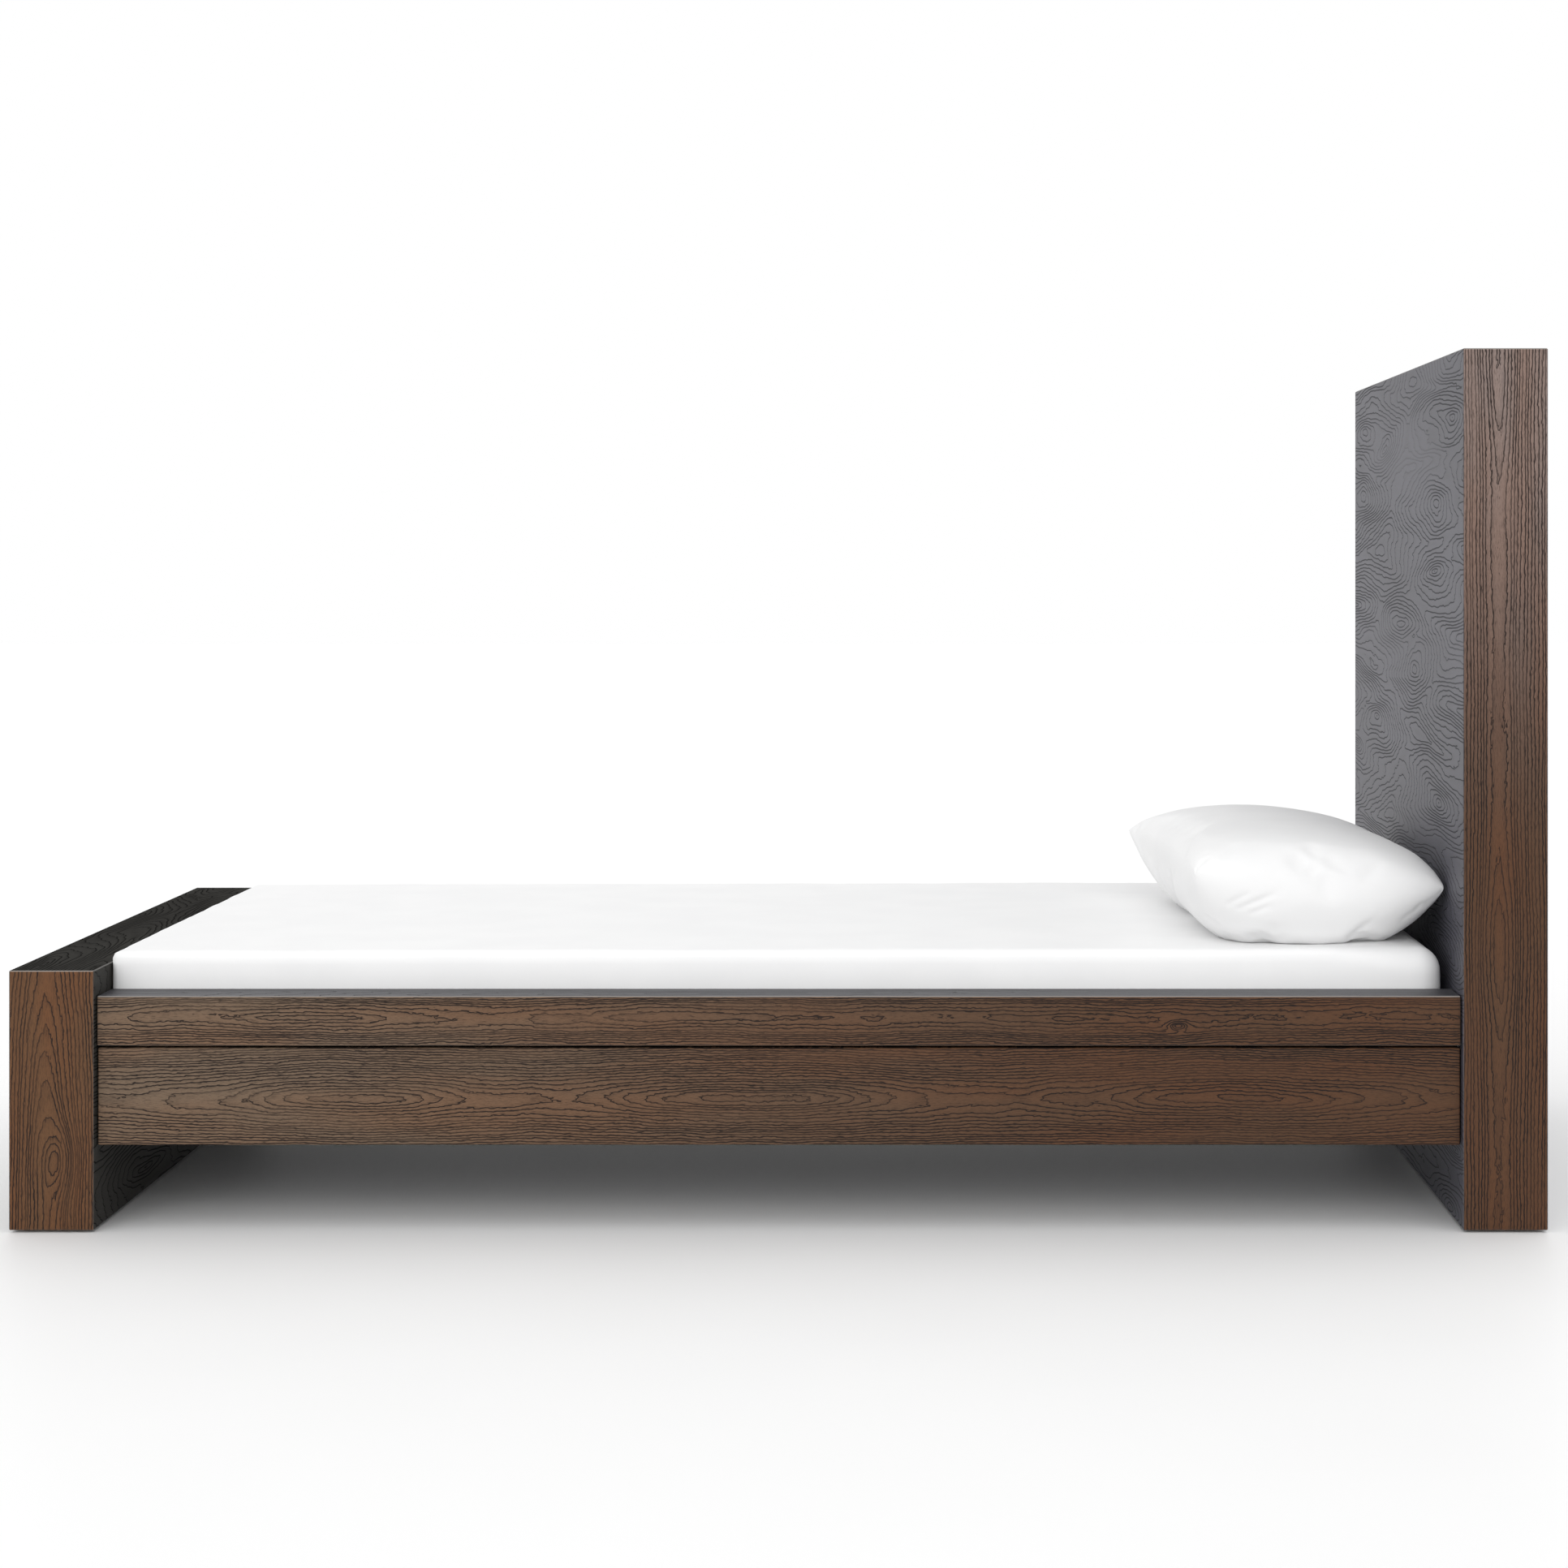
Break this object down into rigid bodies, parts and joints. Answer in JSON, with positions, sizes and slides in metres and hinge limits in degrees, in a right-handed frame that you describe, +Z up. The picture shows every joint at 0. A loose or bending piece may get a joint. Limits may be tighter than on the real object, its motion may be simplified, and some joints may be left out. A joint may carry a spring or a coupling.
{
  "type": "platform bed",
  "caption": "Straight slab-end platform bed in brown and charcoal oak, with split side rails, slatted deck, white sheeted mattress and pillow.",
  "frame": {"origin": "on the floor, under the middle of the bed", "axes": "+X along the bed from foot to head, +Y across it to the left as seen from the foot, +Z up"},
  "size_m": [2.27, 1.07, 1.305],
  "materials": {
    "brown_oak": "satin",
    "charcoal_veneer": "satin",
    "pine_frame": "matte",
    "stained_timber": "matte",
    "zinc_steel": "satin",
    "black_nylon": "matte",
    "ticking": "matte",
    "white_cotton": "matte"
  },
  "bodies": {
    "root": {"headboard_face_panel": "charcoal_veneer", "headboard_back_panel": "charcoal_veneer", "headboard_top_board": "charcoal_veneer", "headboard_left_end": "brown_oak", "headboard_right_end": "brown_oak", "headboard_bottom_board": "charcoal_veneer", "headboard_core_frame": "pine_frame", "footboard_inner_panel": "charcoal_veneer", "footboard_outer_panel": "charcoal_veneer", "footboard_top_board": "charcoal_veneer", "footboard_left_end": "brown_oak", "footboard_right_end": "brown_oak", "footboard_bottom_board": "charcoal_veneer", "footboard_core_frame": "pine_frame", "leveler_nuts": "zinc_steel", "left_rail_face": "brown_oak", "left_rail_top": "charcoal_veneer", "left_rail_core": "charcoal_veneer", "left_fascia": "brown_oak", "left_backing_rail": "charcoal_veneer", "left_slat_ledger": "stained_timber", "right_rail_face": "brown_oak", "right_rail_top": "charcoal_veneer", "right_rail_core": "charcoal_veneer", "right_fascia": "brown_oak", "right_backing_rail": "charcoal_veneer", "right_slat_ledger": "stained_timber", "rail_hook_plates": "zinc_steel", "rail_receiver_plates": "zinc_steel", "slat_01": "stained_timber", "slat_02": "stained_timber", "slat_03": "stained_timber", "slat_04": "stained_timber", "slat_05": "stained_timber", "slat_06": "stained_timber", "slat_07": "stained_timber", "slat_08": "stained_timber", "slat_09": "stained_timber", "slat_10": "stained_timber", "slat_11": "stained_timber", "slat_12": "stained_timber", "slat_13": "stained_timber", "slat_screws": "zinc_steel", "ledger_screws": "zinc_steel", "plate_screws": "zinc_steel"},
    "mattress": {"mattress": "ticking", "fitted_sheet": "white_cotton"},
    "pillow": {"pillow": "ticking", "pillowcase": "white_cotton"},
    "head_left_leveler_pad": {"head_left_leveler_pad": "black_nylon"},
    "head_left_leveler_stem": {"head_left_leveler_stem": "zinc_steel"},
    "head_right_leveler_pad": {"head_right_leveler_pad": "black_nylon"},
    "head_right_leveler_stem": {"head_right_leveler_stem": "zinc_steel"},
    "foot_left_leveler_pad": {"foot_left_leveler_pad": "black_nylon"},
    "foot_left_leveler_stem": {"foot_left_leveler_stem": "zinc_steel"},
    "foot_right_leveler_pad": {"foot_right_leveler_pad": "black_nylon"},
    "foot_right_leveler_stem": {"foot_right_leveler_stem": "zinc_steel"}
  },
  "joints": [
    {"name": "head_left_leveler_extend", "type": "slide", "parent": "root", "child": "head_left_leveler_pad", "axis": [0, 0, -1], "range_m": [0, 0.0125]},
    {"name": "head_left_leveler_turn", "type": "hinge", "parent": "head_left_leveler_pad", "child": "head_left_leveler_stem", "pos_m": [1.0725, 0.44, 0.02], "axis": [0, 0, -1], "range_deg": [0, 3601]},
    {"name": "head_right_leveler_extend", "type": "slide", "parent": "root", "child": "head_right_leveler_pad", "axis": [0, 0, -1], "range_m": [0, 0.0125]},
    {"name": "head_right_leveler_turn", "type": "hinge", "parent": "head_right_leveler_pad", "child": "head_right_leveler_stem", "pos_m": [1.0725, -0.44, 0.02], "axis": [0, 0, -1], "range_deg": [0, 3601]},
    {"name": "foot_left_leveler_extend", "type": "slide", "parent": "root", "child": "foot_left_leveler_pad", "axis": [0, 0, -1], "range_m": [0, 0.0125]},
    {"name": "foot_left_leveler_turn", "type": "hinge", "parent": "foot_left_leveler_pad", "child": "foot_left_leveler_stem", "pos_m": [-1.0725, 0.44, 0.02], "axis": [0, 0, -1], "range_deg": [0, 3601]},
    {"name": "foot_right_leveler_extend", "type": "slide", "parent": "root", "child": "foot_right_leveler_pad", "axis": [0, 0, -1], "range_m": [0, 0.0125]},
    {"name": "foot_right_leveler_turn", "type": "hinge", "parent": "foot_right_leveler_pad", "child": "foot_right_leveler_stem", "pos_m": [-1.0725, -0.44, 0.02], "axis": [0, 0, -1], "range_deg": [0, 3601]},
    {"name": "mattress_lift", "type": "slide", "parent": "root", "child": "mattress", "axis": [0, 0, 1], "range_m": [0, 0.3]},
    {"name": "pillow_lift", "type": "slide", "parent": "mattress", "child": "pillow", "axis": [0, 0, 1], "range_m": [0, 0.35]}
  ],
  "couplings": [
    {"joint": "head_left_leveler_turn", "follows": "head_left_leveler_extend", "rad_per_m": 5026.5},
    {"joint": "head_right_leveler_turn", "follows": "head_right_leveler_extend", "rad_per_m": 5026.5},
    {"joint": "foot_left_leveler_turn", "follows": "foot_left_leveler_extend", "rad_per_m": 5026.5},
    {"joint": "foot_right_leveler_turn", "follows": "foot_right_leveler_extend", "rad_per_m": 5026.5}
  ]
}
